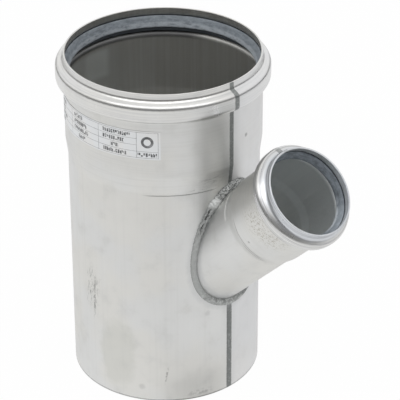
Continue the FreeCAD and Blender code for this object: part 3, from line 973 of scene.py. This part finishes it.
# %% Floor
FLOOR_WHITE = (0.86, 0.86, 0.86, 1.0)
FLOOR_REACH = 4.0  # metres from the middle to each side
FLOOR_DROP = 0.3  # millimetres, which keeps the floor clear of the plain end
GLOW, DIMMED = 0.98, 0.26
RIGHTWARDS = Vector((0.716, 0.698, 0.0))  # to the right in the picture

floor_mesh = bpy.data.meshes.new("floor")
corners = [(x * FLOOR_REACH, y * FLOOR_REACH, 0) for x, y in ((-1, -1), (1, -1), (1, 1), (-1, 1))]
floor_mesh.from_pydata(corners, [], [(0, 1, 2, 3)])
floor = bpy.data.objects.new("floor", floor_mesh)
floor.location.z = -FLOOR_DROP * MM
bpy.context.scene.collection.objects.link(floor)
floor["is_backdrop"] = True

floor_look, begin, floor_shader = new_material("floor_look")
ground = Pipe(begin, *RUN_AXIS)
floor_shader.inputs["Base Color"].default_value = FLOOR_WHITE
floor_shader.inputs["Roughness"].default_value = 0.9
glow = begin.node("ShaderNodeEmission", None, {"Color": WHITE, "Strength": 1.0})
open_floor = rise(ground.radius, RUN_RADIUS - 0.5, RUN_RADIUS)
to_the_right = rise(ground.place.dot(RIGHTWARDS), -150.0, 350.0)
seen = begin.node("ShaderNodeLightPath", out="Is Camera Ray")
reflected = seen_directly(begin) * (GLOW - to_the_right * DIMMED)
share = open_floor * (seen * GLOW).math("MAXIMUM", reflected)
own = Value(floor_look.node_tree, floor_shader.outputs[0])
surface(floor_look, begin.node("ShaderNodeMixShader", None, {0: share, 1: own, 2: glow}))
dress(floor, floor_look)
print("floor:", 2 * FLOOR_REACH, "m wide")

# %% World
ROOM_LIGHT = 0.70
world = bpy.data.worlds.new("studio")
world.use_nodes = True
bpy.context.scene.world = world
begin = Value(world.node_tree)
sky = begin.node("ShaderNodeBackground", None, {"Color": WHITE, "Strength": 1.0})
fill = begin.node("ShaderNodeBackground", None, {"Color": WHITE, "Strength": ROOM_LIGHT})
mixed = begin.node("ShaderNodeMixShader", None, {0: seen_directly(begin), 1: fill, 2: sky})
world.node_tree.links.new(mixed.socket, world.node_tree.nodes["World Output"].inputs["Surface"])
print("room light:", ROOM_LIGHT)

# %% Lamps
MIDDLE = Vector((0.02, 0.0, 0.11))  # of the fitting, in metres


def softbox(name, azimuth, elevation, distance, size, power):
    """A large soft lamp that looks at the middle of the fitting."""
    around, up = math.radians(azimuth), math.radians(elevation)
    level = Vector((math.cos(around), math.sin(around), 0.0))
    place = MIDDLE + distance * (level * math.cos(up) + Vector((0.0, 0.0, math.sin(up))))
    data = bpy.data.lights.new(name, "AREA")
    data.shape = "RECTANGLE"
    data.size, data.size_y = size
    data.energy = power
    obj = bpy.data.objects.new(name, data)
    obj.location = place
    obj.rotation_euler = (MIDDLE - place).to_track_quat("-Z", "Y").to_euler()
    bpy.context.scene.collection.objects.link(obj)
    print(name, "gives", power, "W")


softbox("overhead", azimuth=-50.0, elevation=68.0, distance=1.4, size=(2.2, 0.62), power=5.2)

# %% [markdown]
# The bends need something dark to mirror, or they would look pale and flat. A low wall round the
# fitting gives it, higher behind the camera. Only reflections see it, and it draws the dark lines
# along the bends.

# %% Dark wall
WALL_RADIUS = 1.3
WALL_GREY = 0.27
WALL_STEPS = 96
WALL_LOW, WALL_EXTRA = 0.27, 0.90
WALL_SIDE = math.radians(155.0)  # how far the wall reaches to each side of the camera


def wall_height(off):
    """Height in metres at an angle from the camera's side."""
    return WALL_LOW + WALL_EXTRA * (0.5 + 0.5 * math.cos(off)) ** 1.5


corners = []
for i in range(WALL_STEPS + 1):
    off = WALL_SIDE * (2 * i / WALL_STEPS - 1)
    x, y = (WALL_RADIUS * part(LOOK_FROM + off) for part in (math.cos, math.sin))
    corners += [(x, y, 0.0), (x, y, wall_height(off))]
wall_mesh = bpy.data.meshes.new("dark_wall")
wall_mesh.from_pydata(corners, [], [(2 * i, 2 * i + 1, 2 * i + 3, 2 * i + 2) for i in range(WALL_STEPS)])
wall = bpy.data.objects.new("dark_wall", wall_mesh)
bpy.context.scene.collection.objects.link(wall)
wall.visible_camera = wall.visible_diffuse = wall.visible_shadow = False
wall_look, begin, _ = new_material("wall_look")
surface(wall_look, begin.node("ShaderNodeEmission", None, {"Color": WHITE, "Strength": WALL_GREY}))
dress(wall, wall_look)
wall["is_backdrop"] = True
print("wall:", len(wall_mesh.polygons), "panels")

# %% [markdown]
# ## Sizes at the end
#
# The dressed fitting has to keep the size of the solids, so both boxes are gathered side by side.

# %% Sizes and end
boxes = {"cad": cad_box, "visual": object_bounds()}
boxes = {name: [list(map(float, corner)) for corner in box] for name, box in boxes.items()}
